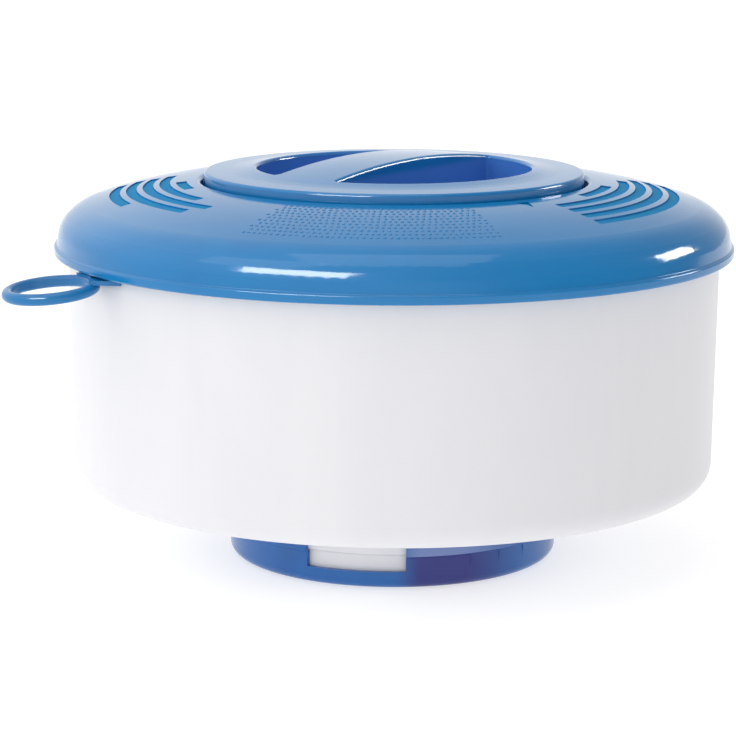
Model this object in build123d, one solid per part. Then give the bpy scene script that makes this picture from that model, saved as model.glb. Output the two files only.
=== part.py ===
from build123d import *
from math import cos, radians, sin
import os

# Floating chlorine dispenser: a white float drum under a blue domed lid, a round cap that
# turns and lifts off, and a dosing sleeve that turns on a neck below the drum.
# Millimetres. Origin: centre of the foot it stands on. +Z up, front towards -Y.
# An azimuth is counted in degrees from the front, -Y, towards +X.

# Driving dimensions
WALL = 2.4
FIT_GAP = 0.3               # between pieces that turn on each other
SEAT_GAP = 0.05             # between faces that rest on each other

DRUM_FLOOR = 23.8           # underside of the drum
DRUM_RIM = 100.0
DRUM_FOOT_R = 97.2
DRUM_RIM_R = 98.3
DRUM_CORNER = 7.0

LIP_LOW = 93.5              # lower edge of the lid
LIP_HIGH = 96.1
LIP_R = 102.5
LID_SKIRT_R = 101.7
LID_BORE_R = 98.6           # inside of the lid's skirt
LID_LAND = 102.1            # face that presses on the rim seal
LID_INNER_HIGH = 114.9      # top of the lid at the edge of the cap's seat
SHOULDER_R = 100.8          # where the dome's shoulder meets the skirt
SHOULDER_Z = 101.7

CAP_R = 57.3
CAP_TOP = 121.8
CAP_CROWN_R = 290.0         # radius of the crown's arc
CAP_EDGE = 117.5            # height of the cap's flat border
CAP_EDGE_ROUNDING = 0.9
SEAT_R = 58.3               # wall of the lid's round seat
SEAT_FLOOR = 109.6
SEAT_OPENING_R = 49.8

POCKET_R = 41.4
POCKET_FLOOR = 103.0
POCKET_CORNER = 1.0
GRIP_BAR = 22.4             # width of the bar between the two finger pockets
GRIP_BAR_ANGLE = 55.5       # of the bar, from +X
GRIP_BAR_OFFSET = 4.0       # from the cap's axis, towards the smaller pocket

CHAMBER_R = 46.2            # inside of the tablet chamber
CHAMBER_OUT_R = 48.4
BEAD_R = 49.3               # snap bead on the neck
BEAD_LOW = 10.2
BEAD_HIGH = 16.0
NECK_LOW = 3.0
NECK_LEDGE_R = 43.7         # inward ledge that the grille is welded under
GRILLE_R = 45.6
GRILLE_HIGH = 2.9
NECK_FLANGE_R = 55.0
NECK_FLANGE_HIGH = 30.2

SLEEVE_LOW = 0.4
SLEEVE_WALL = 2.0
SLEEVE_WINDOW = 34.6        # degrees
SLEEVE_WINDOW_AZ = -12.7
SLEEVE_SILL = 5.6
NECK_WINDOW = 40.0          # degrees
NECK_WINDOW_AZ = 26.5
NECK_SILL = 6.6
NECK_LINTEL = 19.6
WINDOW_PAIRS = (0, 180)

BAYONET_LUGS = 3
LUG_ARC = 36.0
LUG_LOW = 101.0
LUG_HIGH = 103.5
LUG_R = 48.8
PLUG_R = 45.6
LEDGE_ARC = 70.0
LEDGE_LOW = 104.0
LEDGE_HIGH = 106.4

GROOVES = 5
GROOVE_PITCH = 5.0
GROOVE_WIDTH = 3.2
GROOVE_OUT_R = 85.8
GROOVE_DEPTH = 0.7
INDEX_AZ = 35.6             # engraved triangle that the cap is lined up with
INDEX_R = 64.9

BASKET_FOOT_R = 41.4
BASKET_MOUTH_R = 45.0
BASKET_WALL = 1.8
BASKET_FLOOR_LOW = 3.0
BASKET_RING_LOW = 4.85
BASKET_STAVE_LOW = 11.0
BASKET_RIM_LOW = 88.0
BASKET_HIGH = 92.0
BASKET_STAVES = 12

TETHER_AZ = -59.5
TETHER_DISTANCE = 112.8     # from the drum's axis to the eye's
TETHER_Z = 89.8
TETHER_DROOP = 5.5          # degrees, the eye's outer side downwards
TONGUE_AZ = -58.5
TONGUE_ARC = 12.0
EYE_R = 12.35               # to the middle of the eye's rod
EYE_ROD_R = 1.7
EYE_BORE_R = 10.9

TALL = 130.0                # higher than anything in the model


def at(azimuth, distance):
    """Plan position at an azimuth and a distance from the axis."""
    return (distance * sin(radians(azimuth)), -distance * cos(radians(azimuth)))


def turned(corners):
    """Solid of revolution about Z from corners (radius, height, rounding)."""
    points = [(r, z) for r, z, _ in corners]
    rounding = [c for _, _, c in corners]
    outline = FilletPolyline(*points, radius=rounding, close=True)
    return revolve(Plane.XZ * make_face(outline), Axis.Z)


def tube(inner, outer, low, high):
    """Plain ring."""
    return turned([(inner, low, 0), (outer, low, 0), (outer, high, 0), (inner, high, 0)])


def sector(inner, outer, low, high, azimuth, arc):
    """Ring piece, arc degrees wide, centred on an azimuth."""
    start = Plane.XZ.rotated((0, 0, azimuth - 90 - arc / 2))
    outline = Polyline((inner, low), (outer, low), (outer, high), (inner, high), close=True)
    return revolve(start * make_face(outline), Axis.Z, arc)


def joined(pieces):
    """One shape from many."""
    first, *rest = pieces
    return first + rest if rest else first


def write(name, shape):
    solids = shape.solids()
    export_step(solids[0] if len(solids) == 1 else Compound(solids), f"parts/{name}.step")
    print(name, len(solids), round(shape.volume))


# Drum and chamber

def drum_shell():
    """Bucket with a hole in its floor for the neck."""
    hole = CHAMBER_OUT_R + SEAT_GAP
    return turned([
        (hole, DRUM_FLOOR, 0.6),
        (DRUM_FOOT_R, DRUM_FLOOR, DRUM_CORNER),
        (DRUM_RIM_R, DRUM_RIM, 0.5),
        (DRUM_RIM_R - WALL, DRUM_RIM, 0.5),
        (DRUM_FOOT_R - WALL, DRUM_FLOOR + WALL, DRUM_CORNER - WALL),
        (hole, DRUM_FLOOR + WALL, 0),
    ])


def chamber_tube():
    """Wall between the tablets and the sealed air space."""
    low = NECK_FLANGE_HIGH + 1.6
    high = LUG_LOW - 4.2
    groove = 1.0
    body = tube(CHAMBER_R, CHAMBER_OUT_R, low, high)
    flange = tube(CHAMBER_OUT_R, CHAMBER_OUT_R + 3, low, low + 2)
    top_flange = tube(CHAMBER_OUT_R, CHAMBER_OUT_R + 3, high - 2, high)
    ribs = [Rot(0, 0, a) * Pos(CHAMBER_OUT_R + groove, 0, (low + high) / 2)
            * Box(2.6, 1.6, high - low - 2) for a in range(0, 360, 45)]
    return joined([body, flange, top_flange, *ribs])


def flat_seal(inner, outer, low, high):
    """Rubber ring with soft edges."""
    soft = 0.4
    return turned([(inner, low, soft), (outer, low, soft), (outer, high, soft),
                   (inner, high, soft)])


# Neck and dosing sleeve

def dosing_neck():
    """Windowed tube under the drum, hung by its flange from the drum's floor."""
    floor_top = DRUM_FLOOR + WALL + SEAT_GAP
    shape = turned([
        (NECK_LEDGE_R, NECK_LOW, 0.3),
        (CHAMBER_OUT_R, NECK_LOW, 0.8),
        (CHAMBER_OUT_R, BEAD_LOW, 0.3),
        (BEAD_R, BEAD_LOW + 0.6, 0.3),
        (BEAD_R, BEAD_HIGH - 0.9, 0.3),
        (CHAMBER_OUT_R, BEAD_HIGH, 0.3),
        (CHAMBER_OUT_R, floor_top, 0),
        (NECK_FLANGE_R, floor_top, 0.4),
        (NECK_FLANGE_R, NECK_FLANGE_HIGH, 0.6),
        (CHAMBER_R, NECK_FLANGE_HIGH, 0),
        (CHAMBER_R, NECK_LOW + 2, 0.5),
        (NECK_LEDGE_R, NECK_LOW + 2, 0.3),
    ])
    for turn in WINDOW_PAIRS:
        shape -= sector(CHAMBER_R - 2, BEAD_R + 2, NECK_SILL, NECK_LINTEL,
                        NECK_WINDOW_AZ + turn, NECK_WINDOW)
    seal_groove = tube(50.4, 53.4, floor_top - 1, floor_top + 1.6)
    return shape - seal_groove


def slotted_disc(r, low, high, rows):
    """Round plate with rows of curved slots; a row is (inner, outer, count, arc)."""
    shape = turned([(0, low, 0), (r, low, 0.5), (r, high, 0.3), (0, high, 0)])
    slots = [sector(inner, outer, low - 1, high + 1, 360 / count * index, arc)
             for inner, outer, count, arc in rows for index in range(count)]
    return shape - slots


def neck_grille():
    """Flat slotted foot under the neck, which the whole float stands on."""
    rows = ((12, 20, 6, 38), (24, 31, 9, 26), (34.5, 40.5, 12, 20))
    return slotted_disc(GRILLE_R, 0, GRILLE_HIGH, rows)


def dosing_sleeve():
    """Blue sleeve that snaps over the neck's bead and turns on it."""
    bore = CHAMBER_OUT_R + FIT_GAP
    bead_bore = BEAD_R + FIT_GAP
    outer = bore + SLEEVE_WALL - 0.3
    bead_outer = bead_bore + SLEEVE_WALL - 0.4
    high = DRUM_FLOOR - 0.7
    flare = 1.0
    lip_bore = GRILLE_R + 0.4
    floor = NECK_LOW - 0.5
    shape = turned([
        (lip_bore, SLEEVE_LOW, 0.5),
        (outer - 0.6, SLEEVE_LOW, 3.0),
        (outer, BEAD_LOW - 0.4, 0.15),
        (bead_outer, BEAD_LOW + 0.3, 0.4),
        (bead_outer + flare, high, 0.5),
        (bore, high, 0.5),
        (bore, BEAD_HIGH + FIT_GAP, 0.2),
        (bead_bore, BEAD_HIGH - 0.6, 0.2),
        (bead_bore, BEAD_LOW + 0.2, 0.2),
        (bore, BEAD_LOW - FIT_GAP, 0.2),
        (bore, floor, 0.6),
        (lip_bore, floor, 0.5),
    ])
    for turn in WINDOW_PAIRS:
        shape -= sector(bore - 1, bead_outer + flare + 1, SLEEVE_SILL, TALL,
                        SLEEVE_WINDOW_AZ + turn, SLEEVE_WINDOW)
    first_mark = SLEEVE_WINDOW_AZ + SLEEVE_WINDOW / 2 + 10.4
    mark_pitch = 11.7
    for turn in WINDOW_PAIRS:
        for step in range(4):
            mark = first_mark + mark_pitch * step + turn
            shape -= sector(outer - 0.25, outer + 3, 5.0, BEAD_LOW - 0.6, mark, 0.9)
    return shape


# Tablet basket

def basket_outer_r(z):
    """Outside of the basket's tapered wall at a height."""
    share = (z - BASKET_FLOOR_LOW) / (BASKET_RIM_LOW - BASKET_FLOOR_LOW)
    return BASKET_FOOT_R + (BASKET_MOUTH_R - 0.6 - BASKET_FOOT_R) * share


def basket_floor():
    rows = ((8, 16, 6, 44), (20, 27, 9, 28), (30.5, 36.5, 12, 20))
    return slotted_disc(BASKET_FOOT_R, BASKET_FLOOR_LOW, BASKET_RING_LOW - SEAT_GAP, rows)


def basket_foot_ring():
    """Kerb round the basket's floor, which the staves stand on."""
    outer = basket_outer_r(BASKET_RING_LOW)
    return tube(outer - BASKET_WALL, outer, BASKET_RING_LOW, BASKET_STAVE_LOW - SEAT_GAP)


def basket_staves():
    """Upright bars of the basket's tapered wall, with open slots between them."""
    low_r = basket_outer_r(BASKET_STAVE_LOW)
    high_r = basket_outer_r(BASKET_RIM_LOW)
    high = BASKET_RIM_LOW - SEAT_GAP
    wall = turned([
        (low_r - BASKET_WALL, BASKET_STAVE_LOW, 0), (low_r, BASKET_STAVE_LOW, 0),
        (high_r, high, 0), (high_r - BASKET_WALL, high, 0),
    ])
    pitch = 360 / BASKET_STAVES
    return Compound([solid for index in range(BASKET_STAVES) for solid in
                     (wall & sector(BASKET_FOOT_R - 6, BASKET_MOUTH_R + 3, 0, BASKET_HIGH,
                                    pitch * (index + 0.5), pitch * 0.4)).solids()])


def basket_rim():
    """Thick ring at the basket's mouth, to lift it out by."""
    inner = basket_outer_r(BASKET_RIM_LOW) - BASKET_WALL
    outer = BASKET_MOUTH_R + 0.6
    return turned([(inner, BASKET_RIM_LOW, 0), (outer, BASKET_RIM_LOW, 0.4),
                   (outer, BASKET_HIGH, 0.6), (inner, BASKET_HIGH, 0.6)])


# Lid

def lid_crown(drop):
    """Outline of the lid's top, from the seat's rim out to the skirt, lowered by drop."""
    inner = (SEAT_R, LID_INNER_HIGH - drop)
    outer = (92.6, 108.3 - drop)
    crown = ThreePointArc(inner, (77.0, 112.4 - drop), outer)
    shoulder = TangentArc(outer, (SHOULDER_R, SHOULDER_Z - drop), tangent=crown % 1)
    return crown, shoulder


def rim(shape, r, z):
    """The circular edge of a turned shape at a radius and a height."""
    return shape.edges().filter_by(GeomType.CIRCLE).sort_by(
        lambda edge: abs(edge.radius - r) + abs(edge.arc_center.Z - z))[0]


def lid_body():
    """Domed lid with a skirt, a lip and a round seat for the cap."""
    cup_wall = 2.2
    cup_r = SEAT_R + cup_wall
    land_r = 94.8
    crown, shoulder = lid_crown(0)
    skirt = Polyline(
        (SHOULDER_R, SHOULDER_Z), (LID_SKIRT_R, LIP_HIGH + 0.2), (LIP_R, LIP_HIGH), (LIP_R, LIP_LOW),
        (LID_BORE_R, LIP_LOW), (LID_BORE_R, LID_LAND), (land_r, LID_LAND), (land_r, 105.1))
    underside = ThreePointArc((land_r, 105.1), (77.0, 110.0), (cup_r, 112.4))
    seat = Polyline(
        (cup_r, 112.4), (cup_r, SEAT_FLOOR - cup_wall), (SEAT_OPENING_R, SEAT_FLOOR - cup_wall),
        (SEAT_OPENING_R, SEAT_FLOOR), (SEAT_R, SEAT_FLOOR), (SEAT_R, LID_INNER_HIGH))
    body = revolve(Plane.XZ * make_face([crown, shoulder, skirt, underside, seat]), Axis.Z)
    rounded = (
        (SEAT_R, LID_INNER_HIGH, 1.2), (SHOULDER_R, SHOULDER_Z, 9.0), (LIP_R, LIP_HIGH, 0.6),
        (LID_SKIRT_R, LIP_HIGH + 0.2, 0.4), (LIP_R, LIP_LOW, 0.8), (SEAT_OPENING_R, SEAT_FLOOR, 0.4),
    )
    for r, z, rounding in rounded:
        body = fillet(rim(body, r, z), rounding)
    return body


def above_crown(depth):
    """Everything higher than the lid's top lowered by depth."""
    crown, shoulder = lid_crown(depth)
    rest = Polyline((SHOULDER_R, SHOULDER_Z - depth), (SHOULDER_R, TALL), (SEAT_R, TALL),
                    (SEAT_R, LID_INNER_HIGH - depth))
    return revolve(Plane.XZ * make_face([crown, shoulder, rest]), Axis.Z)


def groove_arcs():
    """(outer radius, first azimuth, last azimuth) of each groove in the lid's two fans."""
    radii = [GROOVE_OUT_R - GROOVE_PITCH * i for i in range(GROOVES)]
    right = zip(radii, (42.4, 42.4, 42.4, 42.4, 58.0), (103, 103, 101, 95, 80))
    left = zip(radii, (-68.0, -48.5, -45.0, -54.0, -69.5), (-99, -101, -100, -101, -85))
    return [*right, *left]


def lid_shell():
    shape = lid_body()
    columns = []
    for outer, first, last in groove_arcs():
        columns.append(sector(outer - GROOVE_WIDTH, outer, 90, TALL - 5,
                              (first + last) / 2, abs(last - first)))
    x, y = at(INDEX_AZ, INDEX_R)
    triangle = make_face(Polyline((-2.2, 2.6), (2.2, 2.6), (0, -3.0), close=True))
    index_mark = Pos(x, y, 90) * Rot(0, 0, INDEX_AZ) * extrude(triangle, 35)
    shape -= joined([*columns, index_mark]) & above_crown(GROOVE_DEPTH)
    tongue_pocket = sector(LID_BORE_R - 1, 100.2, LIP_LOW - 1, 99.0, TONGUE_AZ, TONGUE_ARC + 2)
    return shape - tongue_pocket


def bayonet_collar():
    """Ring under the lid's seat whose three ledges hold the cap's lugs."""
    wall_in = LUG_R + 0.6
    wall_out = wall_in + WALL
    low = LUG_LOW - 2.4
    high = SEAT_FLOOR - 2.2 - SEAT_GAP
    shape = turned([
        (CHAMBER_R, low, 0), (wall_out, low, 0.4), (wall_out, high - 2, 0.4),
        (SEAT_R, high - 2, 0.3), (SEAT_R, high, 0.3), (wall_in, high, 0),
        (wall_in, low + 1.8, 0), (CHAMBER_R, low + 1.8, 0),
    ])
    ledges = [sector(PLUG_R + 0.6, wall_in + 0.5, LEDGE_LOW, LEDGE_HIGH, 360 / BAYONET_LUGS * i + 60,
                     LEDGE_ARC) for i in range(BAYONET_LUGS)]
    return joined([shape, *ledges])


# Cap

def pocket(side, grow, low, high):
    """D-shaped column: a circle cut off along the grip bar. side is 1 or -1."""
    half_bar = GRIP_BAR / 2 - grow
    disc = Pos(0, 0, low) * extrude(make_face(CenterArc((0, 0), POCKET_R + grow, 0, 360)), high - low)
    reach = 2 * POCKET_R
    middle = GRIP_BAR_OFFSET - side * (half_bar + reach / 2)
    half_plane = Rot(0, 0, GRIP_BAR_ANGLE) * Pos(0, middle, (low + high) / 2) \
        * Box(2 * reach, reach, high - low)
    column = disc & half_plane
    return fillet(column.edges().filter_by(Axis.Z), POCKET_CORNER + grow)


def cap_blank(drop, edge_drop):
    """Solid cap, its outside moved inwards: the top by drop, the side by edge_drop."""
    top = CAP_TOP - drop
    side = CAP_R - edge_drop
    border_r = 47.5
    border_z = top - border_r ** 2 / (2 * CAP_CROWN_R)
    crown = ThreePointArc((0, top), (border_r / 2, top - border_r ** 2 / (8 * CAP_CROWN_R)),
                          (border_r, border_z))
    bottom = SEAT_FLOOR + 2.2
    rest = Polyline((border_r, border_z), (side, CAP_EDGE - drop), (side, bottom), (0, bottom), (0, top))
    blank = revolve(Plane.XZ * make_face([crown, rest]), Axis.Z)
    blank = fillet(rim(blank, border_r, border_z), 40.0)
    return fillet(rim(blank, side, CAP_EDGE - drop), max(CAP_EDGE_ROUNDING - edge_drop, 0.4))


def cap_shell():
    """Crowned cap with a skirt and two deep finger pockets."""
    skin = 2.2
    shape = cap_blank(0, 0) - cap_blank(skin, WALL)
    for side in (1, -1):
        cup = pocket(side, 2.0, POCKET_FLOOR - 1.8, CAP_TOP) & joined(
            [cap_blank(0.5, 0.5), tube(0, POCKET_R + 3, 95, SEAT_FLOOR + 4)])
        shape = shape + cup
    for side in (1, -1):
        shape -= pocket(side, 0, POCKET_FLOOR, TALL)
    mouths = shape.edges().filter_by(
        lambda e: e.center().Z > CAP_EDGE and Vector(e.center().X, e.center().Y).length < POCKET_R + 1)
    return fillet(mouths, 0.9)


def cap_bayonet():
    """Plug ring under the cap with three lugs for the collar."""
    high = CAP_EDGE - 2.2 - 0.3
    low = LUG_LOW
    inner = PLUG_R - 2.0
    shape = turned([(inner, low, 0.4), (PLUG_R, low, 0.4), (PLUG_R, high, 0), (inner, high, 0)])
    lugs = [sector(PLUG_R - 0.5, LUG_R, LUG_LOW, LUG_HIGH, 360 / BAYONET_LUGS * i, LUG_ARC)
            for i in range(BAYONET_LUGS)]
    return joined([shape, *lugs])


# Tether eye

def tether_eye():
    """Eye for a cord, its web, and the tongue clamped between drum and lid."""
    cx, cy = at(TETHER_AZ, TETHER_DISTANCE)
    place = Pos(cx, cy, TETHER_Z) * Rot(0, 0, TETHER_AZ) * Rot(TETHER_DROOP, 0, 0)
    rod = Pos(EYE_R, 0) * Circle(EYE_ROD_R) - Pos(EYE_BORE_R - 5, 0) * Rectangle(10, 10)
    eye = place * revolve(Plane.XZ * rod, Axis.Z)
    web_low = TETHER_Z + 2.1
    web_high = LIP_LOW - 0.3
    web_end = TONGUE_AZ + TONGUE_ARC / 2 + 1.5
    inner_r = DRUM_RIM_R + 0.45
    corners = [at(web_end, inner_r - 1), at(web_end, inner_r + 0.3), (cx + 11.8, cy - 4.3),
               (cx + 6.0, cy + 10.5), at(TONGUE_AZ - TONGUE_ARC / 2, inner_r - 1)]
    web = Pos(0, 0, web_low) * extrude(make_face(Polyline(*corners, close=True)), web_high - web_low)
    web -= Pos(0, 0, TETHER_Z) * Cylinder(inner_r, 20)
    web -= place * Cylinder(EYE_BORE_R + 0.6, 20)
    tongue = sector(inner_r, inner_r + 1.2, web_low, 98.6, TONGUE_AZ, TONGUE_ARC)
    return joined([eye, web, tongue])


def main():
    os.makedirs("parts", exist_ok=True)
    rim_seal = flat_seal(96.1, 98.1, DRUM_RIM + SEAT_GAP, LID_LAND - SEAT_GAP)
    floor_top = DRUM_FLOOR + WALL
    neck_seal = flat_seal(50.5, 53.3, floor_top + SEAT_GAP, floor_top + 1.6)
    tube_low = NECK_FLANGE_HIGH + SEAT_GAP
    lower_seal = flat_seal(CHAMBER_R + 0.4, CHAMBER_OUT_R + 2.6, tube_low, tube_low + 1.5)
    tube_high = LUG_LOW - 4.2 + SEAT_GAP
    upper_seal = flat_seal(CHAMBER_R + 0.4, CHAMBER_OUT_R + 2.6, tube_high, tube_high + 1.7)
    cap_seal = flat_seal(54.7, 57.0, SEAT_FLOOR + SEAT_GAP, SEAT_FLOOR + 2.15)
    nodes = {
        "drum_shell": drum_shell(),
        "chamber_tube": chamber_tube(),
        "chamber_seal_lower": lower_seal,
        "chamber_seal_upper": upper_seal,
        "dosing_neck": dosing_neck(),
        "neck_seal": neck_seal,
        "neck_grille": neck_grille(),
        "dosing_sleeve": dosing_sleeve(),
        "basket_floor": basket_floor(),
        "basket_foot_ring": basket_foot_ring(),
        "basket_staves": basket_staves(),
        "basket_rim": basket_rim(),
        "lid_shell": lid_shell(),
        "lid_seal": rim_seal,
        "bayonet_collar": bayonet_collar(),
        "cap_seal": cap_seal,
        "cap_shell": cap_shell(),
        "cap_bayonet": cap_bayonet(),
        "tether_eye": tether_eye(),
    }
    for name, shape in nodes.items():
        write(name, shape)


main()
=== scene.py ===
from math import cos, degrees, hypot, pi, radians, sin

import bmesh
import bpy
from mathutils import Matrix, Vector
from mathutils.bvhtree import BVHTree

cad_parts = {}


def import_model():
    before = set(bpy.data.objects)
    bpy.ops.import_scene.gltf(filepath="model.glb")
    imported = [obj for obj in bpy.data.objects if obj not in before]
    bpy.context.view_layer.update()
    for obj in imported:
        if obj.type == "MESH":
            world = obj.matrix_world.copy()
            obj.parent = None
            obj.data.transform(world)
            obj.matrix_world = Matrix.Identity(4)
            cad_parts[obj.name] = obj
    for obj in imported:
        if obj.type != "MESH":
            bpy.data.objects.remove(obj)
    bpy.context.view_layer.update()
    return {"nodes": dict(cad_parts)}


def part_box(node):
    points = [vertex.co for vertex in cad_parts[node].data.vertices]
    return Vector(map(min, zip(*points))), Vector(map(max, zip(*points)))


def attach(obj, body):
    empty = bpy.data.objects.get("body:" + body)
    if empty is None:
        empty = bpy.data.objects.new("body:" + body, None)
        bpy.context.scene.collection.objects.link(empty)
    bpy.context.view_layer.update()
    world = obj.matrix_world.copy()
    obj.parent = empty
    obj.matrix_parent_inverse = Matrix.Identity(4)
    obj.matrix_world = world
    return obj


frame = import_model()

MM = 0.001

# Materials

FLOW_SCALE = 26.0             # clouding from the mould's flow, in noise cells per metre
PATCH_SCALE = 48.0            # duller handled patches
SPECK_SCALE = 1500.0          # fine rubbed specks
PEEL_SCALE = 330.0            # orange peel
PLASTIC_IOR = 1.5
RUBBER_IOR = 1.45

class Shader:
    """A node tree with short calls for the nodes that the plastics use."""

    def __init__(self, name):
        self.material = bpy.data.materials.new(name)
        self.material.use_nodes = True
        self.tree = self.material.node_tree
        self.bsdf = self.tree.nodes["Principled BSDF"]
        self.place = self.tree.nodes.new("ShaderNodeTexCoord").outputs["Object"]

    def node(self, kind, **inputs):
        node = self.tree.nodes.new(kind)
        for name, value in inputs.items():
            self.feed(node.inputs[name.replace("_", " ")], value)
        return node

    def feed(self, socket, value):
        if isinstance(value, bpy.types.NodeSocket):
            self.tree.links.new(value, socket)
        else:
            socket.default_value = value

    def noise(self, scale, detail=2.0, roughness=0.5, distortion=0.0, place=None):
        return self.node("ShaderNodeTexNoise", Vector=place or self.place, Scale=scale, Detail=detail,
                         Roughness=roughness, Distortion=distortion).outputs["Fac"]

    def scaled(self, x, y, z):
        mapping = self.node("ShaderNodeMapping", Vector=self.place)
        mapping.inputs["Scale"].default_value = (x, y, z)
        return mapping.outputs["Vector"]

    def ramp(self, value, low, high, at_low=0.0, at_high=1.0, smooth=True):
        """Maps value from low..high to at_low..at_high, held at both ends."""
        node = self.node("ShaderNodeMapRange", Value=value)
        node.interpolation_type = "SMOOTHSTEP" if smooth else "LINEAR"
        numbers = {"From Min": low, "From Max": high, "To Min": at_low, "To Max": at_high}
        for name, number in numbers.items():
            node.inputs[name].default_value = number
        return node.outputs["Result"]

    def math(self, operation, a, b=0.0):
        node = self.tree.nodes.new("ShaderNodeMath")
        node.operation = operation
        self.feed(node.inputs[0], a)
        self.feed(node.inputs[1], b)
        return node.outputs[0]

    def mix(self, factor, a, b):
        node = self.tree.nodes.new("ShaderNodeMix")
        node.data_type = "RGBA"
        self.feed(node.inputs["Factor"], factor)
        self.feed(node.inputs[6], a)
        self.feed(node.inputs[7], b)
        return node.outputs[2]

    def bump(self, height, strength, distance, normal=None):
        node = self.node("ShaderNodeBump", Height=height, Strength=strength, Distance=distance)
        if normal is not None:
            self.feed(node.inputs["Normal"], normal)
        return node.outputs["Normal"]

    def xyz(self):
        parts = self.node("ShaderNodeSeparateXYZ", Vector=self.place)
        return parts.outputs["X"], parts.outputs["Y"], parts.outputs["Z"]

    def set(self, **inputs):
        for name, value in inputs.items():
            self.feed(self.bsdf.inputs[name.replace("_", " ")], value)


SLEEVE_STEP_DROP = 12.9        # mm from the sleeve's top down to its step
POCKET_DEEP = 5.0              # mm below the cap's top where the painted light in the pockets is full
POCKET_MOUTH = 2.5             # mm below the cap's top where it starts
POCKET_REACH = 43.5            # mm from the axis to just outside the pockets


def moulded(name, colour, shade, roughness, subsurface=0.0, grain=(1.0, 1.0, 1.0), handled=0.3):
    """Injection-moulded plastic: flow clouding, orange peel, dull patches and fine rubbed specks."""
    s = Shader(name)
    flow = s.noise(FLOW_SCALE, 4.0, 0.6, 0.8, place=s.scaled(*grain))
    patches = s.noise(PATCH_SCALE, 3.0, 0.5, 0.4)
    specks = s.noise(SPECK_SCALE, 2.0, 0.6)
    s.colour = s.mix(s.ramp(flow, 0.36, 0.66), colour, shade)
    s.set(Base_Color=s.colour)
    dull = s.ramp(patches, 0.30, 0.80, roughness, roughness * (1.0 + handled), smooth=False)
    rubbed = s.ramp(specks, 0.68, 0.8, 0.0, 0.12)
    s.set(Roughness=s.math("ADD", dull, rubbed), IOR=PLASTIC_IOR)
    peel = s.bump(s.noise(PEEL_SCALE, 2.0, 0.45), 0.07, 0.1 * MM)
    s.set(Normal=s.bump(specks, 0.03, 0.03 * MM, peel))
    if subsurface:
        s.set(Subsurface_Weight=subsurface, Subsurface_Scale=4 * MM)
        s.bsdf.inputs["Subsurface Radius"].default_value = (1.0, 1.0, 1.0)
    return s


def sleeve_plastic():
    """Thin tinted plastic with painted light and shade: in front of the neck's window, painted shade
    below the step and a painted lighter band above it stand in for the neck's dark window and its white
    wall seen faintly through the plastic.
    """
    s = moulded("sleeve_blue", DEEP, DEEP_SHADE, 0.14, grain=(1.0, 1.0, 0.3))
    x, y, z = s.xyz()
    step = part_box("dosing_sleeve")[1][2] - SLEEVE_STEP_DROP * MM
    upper = s.ramp(z, step, step + 0.4 * MM)
    right = s.math("MULTIPLY", s.ramp(x, 0.0, 9 * MM), s.ramp(x, 20 * MM, 42 * MM, 1.0, 0.0))
    # Painted light and shade: this mask is the patch in front of the neck's window, where the colour is
    # painted darker below the step and lighter above it.
    window = s.math("MULTIPLY", right, s.ramp(y, -20 * MM, -10 * MM, 1.0, 0.0))
    # Painted shade: darker see-through colour below the step.
    below = s.mix(window, s.colour, PAINTED_WINDOW_SHADE)
    # Painted light: lighter see-through band above the step.
    above = s.mix(s.math("MULTIPLY", window, 0.8), s.colour, PAINTED_STEP_LIGHT)
    s.set(Base_Color=s.mix(upper, below, above))
    return s


def rubber(name, colour, shade):
    """Soft seal: matt, with a fine pore and a chalky bloom."""
    s = Shader(name)
    pores = s.noise(1900.0, 3.0, 0.6)
    bloom = s.noise(70.0, 5.0, 0.7)
    s.set(Base_Color=s.mix(s.ramp(bloom, 0.5, 0.75), colour, shade), IOR=RUBBER_IOR)
    s.set(Roughness=s.ramp(bloom, 0.35, 0.7, 0.5, 0.72))
    s.set(Normal=s.bump(pores, 0.25, 0.08 * MM))
    return s


def surface(node):
    """Ray casts onto a CAD node from above."""
    mesh = bmesh.new()
    mesh.from_mesh(frame["nodes"][node].data)
    tree = BVHTree.FromBMesh(mesh)
    mesh.free()
    return tree


def at(azimuth, distance):
    """Plan position: azimuth in degrees from the front, -Y, towards +X."""
    return distance * sin(radians(azimuth)), -distance * cos(radians(azimuth))


def height_on(tree, azimuth, distance):
    x, y = at(azimuth, distance)
    return tree.ray_cast(Vector((x, y, 1.0)), Vector((0, 0, -1)))[0].z


def circle_through(a, b, c):
    """Centre and radius of the circle through three points of a plane."""
    ax, ay = a
    bx, by = b
    cx, cy = c
    d = 2 * (ax * (by - cy) + bx * (cy - ay) + cx * (ay - by))
    aa, bb, cc = ax * ax + ay * ay, bx * bx + by * by, cx * cx + cy * cy
    x = (aa * (by - cy) + bb * (cy - ay) + cc * (ay - by)) / d
    y = (aa * (cx - bx) + bb * (ax - cx) + cc * (bx - ax)) / d
    return x, y, hypot(ax - x, ay - y)


lid_tree = surface("lid_shell")


def lid_piece(name, mesh, material, smooth=False):
    """Turns a bmesh into a piece that rides with the lid."""
    data = bpy.data.meshes.new(name)
    mesh.to_mesh(data)
    mesh.free()
    for face in data.polygons:
        face.use_smooth = smooth
    data.materials.append(material)
    piece = bpy.data.objects.new(name, data)
    bpy.context.scene.collection.objects.link(piece)
    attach(piece, "housing")


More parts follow.
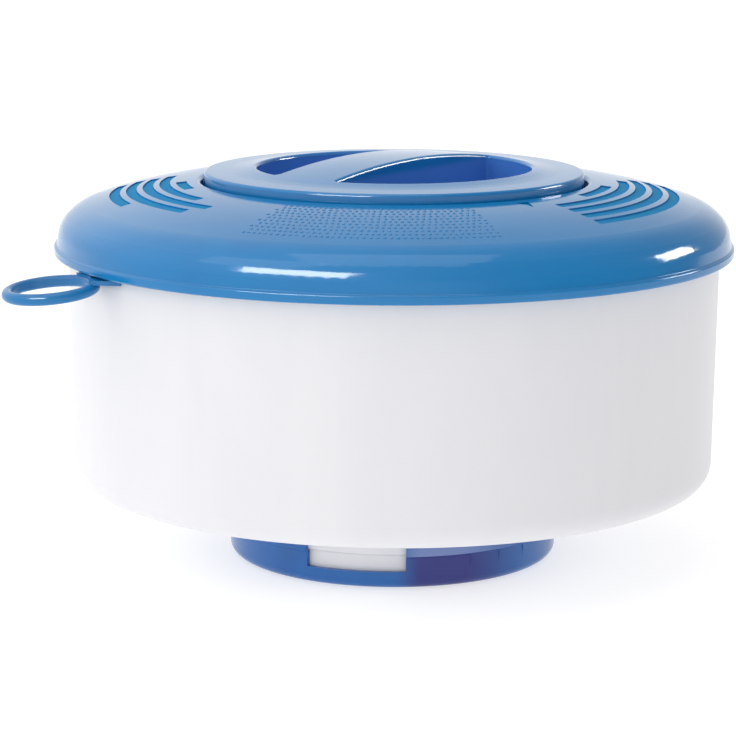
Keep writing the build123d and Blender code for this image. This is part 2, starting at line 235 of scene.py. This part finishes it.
def cap_plastic():
    """The lid's plastic, with painted light down in the finger pockets, standing in for light that comes
    through the plastic there.
    """
    s = moulded("cap_blue", BLUE, BLUE_SHADE, 0.10)
    x, y, z = s.xyz()
    r = s.math("SQRT", s.math("ADD", s.math("MULTIPLY", x, x), s.math("MULTIPLY", y, y)))
    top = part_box("cap_shell")[1][2]
    deep = s.ramp(z, top - POCKET_DEEP * MM, top - POCKET_MOUTH * MM, 1.0, 0.0)
    inside = s.ramp(r, POCKET_REACH * MM, (POCKET_REACH + 1.5) * MM, 1.0, 0.0)
    # Painted light: a lighter colour down in the finger pockets.
    s.set(Base_Color=s.mix(s.math("MULTIPLY", deep, inside), s.colour, POCKET_PAINTED_LIGHT))
    return s


def etched():
    """Azure floor of the lid's grooves: matt, with almost no mirror."""
    s = Shader("groove_azure")
    etch = s.noise(1400.0, 3.0, 0.7)
    mottle = s.noise(160.0, 4.0, 0.6)
    s.set(Base_Color=s.mix(s.ramp(mottle, 0.4, 0.65), AZURE, AZURE_SHADE), IOR=PLASTIC_IOR, Roughness=0.8)
    s.set(Specular_IOR_Level=0.08, Normal=s.bump(etch, 0.3, 0.08 * MM))
    return s


WHITE = (0.785, 0.785, 0.808, 1)
WHITE_SHADE = (0.76, 0.762, 0.788, 1)
INNER = (0.80, 0.81, 0.84, 1)
INNER_SHADE = (0.74, 0.755, 0.80, 1)
BLUE = (0.005, 0.192, 0.475, 1)
BLUE_SHADE = (0.005, 0.180, 0.45, 1)
# Painted light in the cap's finger pockets.
POCKET_PAINTED_LIGHT = (0.07, 0.22, 0.60, 1)
AZURE = (0.016, 0.22, 0.50, 1)
AZURE_SHADE = (0.016, 0.24, 0.46, 1)
DEEP = (0.008, 0.118, 0.40, 1)
DEEP_SHADE = (0.008, 0.100, 0.35, 1)
# Painted see-through shade on the sleeve, below its step.
PAINTED_WINDOW_SHADE = (0.022, 0.028, 0.20, 1)
# Painted lighter see-through band on the sleeve, above its step.
PAINTED_STEP_LIGHT = (0.20, 0.26, 0.50, 1)
NAVY = (0.004, 0.17, 0.43, 1)
NAVY_SHADE = (0.003, 0.145, 0.38, 1)
BLACK = (0.02, 0.02, 0.022, 1)
BLOOM = (0.05, 0.05, 0.052, 1)

lid_blue = moulded("lid_blue", BLUE, BLUE_SHADE, 0.10, grain=(1.0, 1.0, 3.0), handled=0.25).material
cap_blue = cap_plastic().material
groove_azure = etched().material
sleeve_blue = sleeve_plastic().material
tether_blue = moulded("tether_blue", NAVY, NAVY_SHADE, 0.12, handled=0.3).material
drum_white = moulded("drum_white", WHITE, WHITE_SHADE, 0.30, subsurface=0.12, grain=(1.0, 1.0, 0.25),
                     handled=0.05).material
inner_white = moulded("inner_white", INNER, INNER_SHADE, 0.42).material
seal_rubber = rubber("seal_rubber", BLACK, BLOOM).material

FINISH = {
    "lid_shell": lid_blue, "cap_shell": cap_blue, "dosing_sleeve": sleeve_blue,
    "tether_eye": tether_blue, "drum_shell": drum_white, "dosing_neck": drum_white,
}
for node, item in frame["nodes"].items():
    finish = FINISH.get(node, seal_rubber if "seal" in node else inner_white)
    if not item.data.materials:
        item.data.materials.append(finish)
    for index in range(len(item.data.materials)):
        item.data.materials[index] = finish


# Raised stipple on the front of the lid

PIP_R = 0.55 * MM
PIP_HIGH = 0.20 * MM
PIP_SINK = 0.15                # share of its height that a pip sits in the lid


def dome(mesh, place, normal, radius, height):
    """Low round pip on a surface."""
    turn = normal.to_track_quat("Z", "Y")
    sides = 10
    rings = []
    for share, rise in ((1.0, -PIP_SINK), (0.86, 0.45), (0.5, 0.88)):
        ring = []
        for side in range(sides):
            angle = 2 * pi * side / sides
            local = Vector((radius * share * cos(angle), radius * share * sin(angle), height * rise))
            ring.append(mesh.verts.new(place + turn @ local))
        rings.append(ring)
    top = mesh.verts.new(place + turn @ Vector((0, 0, height)))
    foot = mesh.verts.new(place + turn @ Vector((0, 0, -PIP_SINK * height)))
    for side in range(sides):
        after = (side + 1) % sides
        for low, high in zip(rings, rings[1:]):
            mesh.faces.new((low[side], low[after], high[after], high[side]))
        mesh.faces.new((rings[-1][side], rings[-1][after], top))
        mesh.faces.new((rings[0][after], rings[0][side], foot))


def stipple():
    """Rows of pips round the front of the dome, where a plain grip texture is moulded."""
    mesh = bmesh.new()
    first_r, last_r, rows = 65.0 * MM, 88.0 * MM, 11
    first_az, last_az = -28.0, 20.0
    pitch = 1.75 * MM
    unevenness = 0.22
    for row in range(rows):
        r = first_r + (last_r - first_r) * row / (rows - 1)
        count = int(r * radians(last_az - first_az) / pitch)
        for index in range(count):
            jitter = unevenness * sin(12.9898 * index + 78.233 * row)
            azimuth = first_az + (last_az - first_az) * (index + 0.5 * (row % 2) + jitter) / count
            x, y = at(azimuth, r)
            place, normal = lid_tree.ray_cast(Vector((x, y, 1.0)), Vector((0, 0, -1)))[:2]
            dome(mesh, place, normal, PIP_R, PIP_HIGH)
    lid_piece("lid_stipple", mesh, lid_blue, smooth=True)


stipple()


# Matt floors of the engraved grooves and of the index mark, in millimetres and degrees

GROOVE_OUT_R = 85.8
GROOVE_PITCH = 5.0
GROOVE_WIDTH = 3.2
GROOVE_EDGE_GAP = 0.06
FLOOR_DEPTH = 0.42             # below the crown, at the strip's edges
FLOOR_DISH = 0.10
FLOOR_FOOT = 0.66
RIGHT_FAN = ((42.4, 103), (42.4, 103), (42.4, 101), (42.4, 95), (58.0, 80))
INDEX_AZ = 35.6
INDEX_R = 64.9
INDEX_DEPTH = 0.45
INDEX_FOOT = 0.62
INDEX_CORNERS = ((-2.0, 2.45), (2.0, 2.45), (0.0, -2.6))
LEFT_FAN = ((-99, -68.0), (-101, -48.5), (-100, -45.0), (-101, -54.0), (-85, -69.5))


def groove_floor(name, outer, first, last, crown):
    """Thin dished strip that lies in a groove; crown is the circle of the lid's section."""
    middle_r, middle_z, radius = crown
    mesh = bmesh.new()
    edge_gap = GROOVE_EDGE_GAP
    degrees_per_step = 1.5
    steps = int(abs(last - first) / degrees_per_step) + 1
    across = 7
    margin = degrees(edge_gap / outer)
    rows = []
    for step in range(steps + 1):
        azimuth = first + margin + (last - first - 2 * margin) * step / steps
        top, foot = [], []
        for index in range(across):
            share = index / (across - 1)
            r = (outer - GROOVE_WIDTH + edge_gap + (GROOVE_WIDTH - 2 * edge_gap) * share) * MM
            z = middle_z + (radius ** 2 - (r - middle_r) ** 2) ** 0.5
            dish = FLOOR_DISH * (1 - (2 * share - 1) ** 2)
            x, y = at(azimuth, r)
            top.append(mesh.verts.new((x, y, z - (FLOOR_DEPTH + dish) * MM)))
            foot.append(mesh.verts.new((x, y, z - FLOOR_FOOT * MM)))
        rows.append((top, foot))
    for (top, foot), (next_top, next_foot) in zip(rows, rows[1:]):
        for i in range(across - 1):
            mesh.faces.new((top[i], top[i + 1], next_top[i + 1], next_top[i]))
            mesh.faces.new((foot[i + 1], foot[i], next_foot[i], next_foot[i + 1]))
        mesh.faces.new((foot[0], top[0], next_top[0], next_foot[0]))
        mesh.faces.new((top[-1], foot[-1], next_foot[-1], next_top[-1]))
    for top, foot in (rows[0], rows[-1]):
        for i in range(across - 1):
            mesh.faces.new((top[i], foot[i], foot[i + 1], top[i + 1]))
    bmesh.ops.recalc_face_normals(mesh, faces=mesh.faces)
    lid_piece(name, mesh, groove_azure)


def index_floor(crown):
    """Thin triangle that lies in the index mark beside the cap."""
    middle_r, middle_z, radius = crown
    mesh = bmesh.new()
    mark = Vector(at(INDEX_AZ, INDEX_R))
    turn = Matrix.Rotation(radians(INDEX_AZ), 2)
    top, foot = [], []
    for corner in INDEX_CORNERS:
        x, y = (mark + turn @ Vector(corner)) * MM
        z = middle_z + (radius ** 2 - (hypot(x, y) - middle_r) ** 2) ** 0.5
        top.append(mesh.verts.new((x, y, z - INDEX_DEPTH * MM)))
        foot.append(mesh.verts.new((x, y, z - INDEX_FOOT * MM)))
    mesh.faces.new(top)
    mesh.faces.new(foot[::-1])
    for i in range(3):
        mesh.faces.new((top[i], foot[i], foot[(i + 1) % 3], top[(i + 1) % 3]))
    bmesh.ops.recalc_face_normals(mesh, faces=mesh.faces)
    lid_piece("index_floor", mesh, groove_azure)


def groove_floors():
    front = 0.0
    crown_radii = (62, 77, 90.5)
    section = [(r * MM, height_on(lid_tree, front, r * MM)) for r in crown_radii]
    crown = circle_through(*section)
    for side, fan in (("right", RIGHT_FAN), ("left", LEFT_FAN)):
        for index, (first, last) in enumerate(fan):
            outer = GROOVE_OUT_R - GROOVE_PITCH * index
            groove_floor(f"groove_floor_{side}_{index + 1}", outer, first, last, crown)
    index_floor(crown)


groove_floors()


# Stage, lights and camera

def lightbox_floor():
    """White sheet, lit from below, so that shadows on it are faint."""
    s = Shader("studio_floor")
    fibre = s.noise(300.0, 2.0)
    s.set(Base_Color=s.mix(fibre, (0.50, 0.50, 0.50, 1), (0.48, 0.48, 0.48, 1)), Roughness=0.8)
    s.set(Emission_Color=(1, 1, 1, 1), Emission_Strength=0.63)
    return s.material


def floor():
    size = 8.0
    mesh = bpy.data.meshes.new("floor")
    corners = [(-size, -size, 0), (size, -size, 0), (size, size, 0), (-size, size, 0)]
    mesh.from_pydata(corners, [], [(0, 1, 2, 3)])
    mesh.materials.append(lightbox_floor())
    plane = bpy.data.objects.new("floor", mesh)
    bpy.context.scene.collection.objects.link(plane)


DRUM_MIDDLE = 0.08


def softbox(name, azimuth, elevation, distance, width, height, radiance, gloss_only=False):
    """Rectangular light, aimed at the drum's middle; gloss_only shows in reflections alone."""
    target = Vector((0, 0, DRUM_MIDDLE))
    x, y = at(azimuth, distance * cos(radians(elevation)))
    place = target + Vector((x, y, distance * sin(radians(elevation))))
    light = bpy.data.lights.new(name, "AREA")
    light.shape = "RECTANGLE"
    light.size = width
    light.size_y = height
    light.energy = radiance * pi * width * height
    lamp = bpy.data.objects.new(name, light)
    lamp.location = place
    lamp.rotation_euler = (target - place).to_track_quat("-Z", "Y").to_euler()
    lamp.visible_diffuse = not gloss_only
    bpy.context.scene.collection.objects.link(lamp)


def world():
    """White surround: even at the horizon, brighter overhead on the left than on the right."""
    sky = bpy.data.worlds.new("studio")
    sky.use_nodes = True
    tree = sky.node_tree
    background = tree.nodes["Background"]
    background.inputs["Color"].default_value = (1, 1, 1, 1)
    place = tree.nodes.new("ShaderNodeTexCoord").outputs["Generated"]
    parts = tree.nodes.new("ShaderNodeSeparateXYZ")
    tree.links.new(place, parts.inputs[0])

    def ramp(value, low, high, at_low, at_high):
        node = tree.nodes.new("ShaderNodeMapRange")
        node.interpolation_type = "SMOOTHSTEP"
        ends = {"From Min": low, "From Max": high, "To Min": at_low, "To Max": at_high}
        for name, end in ends.items():
            if isinstance(end, bpy.types.NodeSocket):
                tree.links.new(end, node.inputs[name])
            else:
                node.inputs[name].default_value = end
        tree.links.new(value, node.inputs["Value"])
        return node.outputs["Result"]

    overhead = ramp(parts.outputs["X"], -0.7, 0.8, 1.25, 0.42)
    horizon = ramp(parts.outputs["X"], 0.1, 0.9, 1.0, 0.30)
    strength = ramp(parts.outputs["Z"], 0.05, 0.45, horizon, overhead)
    tree.links.new(strength, background.inputs["Strength"])
    bpy.context.scene.world = sky


CAMERA_PLACE = (0, -0.820, 0.2173)
LOOK_DOWN = 11.09              # degrees
FOCAL_LENGTH = 133.46          # mm, on a 36 mm sensor


def camera():
    """Looks down about 11 degrees from 0.82 m in front, a little to the object's left."""
    lens = bpy.data.cameras.new("camera")
    lens.lens = FOCAL_LENGTH
    lens.sensor_width = 36.0
    lens.clip_end = 50
    eye = bpy.data.objects.new("camera", lens)
    pitch, roll, yaw = radians(90 - LOOK_DOWN), radians(0.19), radians(0.54)
    turn = Matrix.Rotation(yaw, 4, "Z") @ Matrix.Rotation(pitch, 4, "X") @ Matrix.Rotation(roll, 4, "Z")
    eye.matrix_world = Matrix.Translation(CAMERA_PLACE) @ turn
    bpy.context.scene.collection.objects.link(eye)
    bpy.context.scene.camera = eye


floor()
world()
softbox("front_strip", -34, 31, 1.2, 0.74, 0.32, 16, gloss_only=True)
softbox("right_strip", 109, 17, 1.2, 0.40, 0.28, 16, gloss_only=True)
softbox("top_left", -60, 50, 1.4, 0.7, 0.7, 0.8)
softbox("overhead", 0, 80, 1.5, 1.0, 1.0, 0.9)
camera()
scene = bpy.context.scene
scene.view_settings.view_transform = "Standard"
scene.view_settings.look = "None"
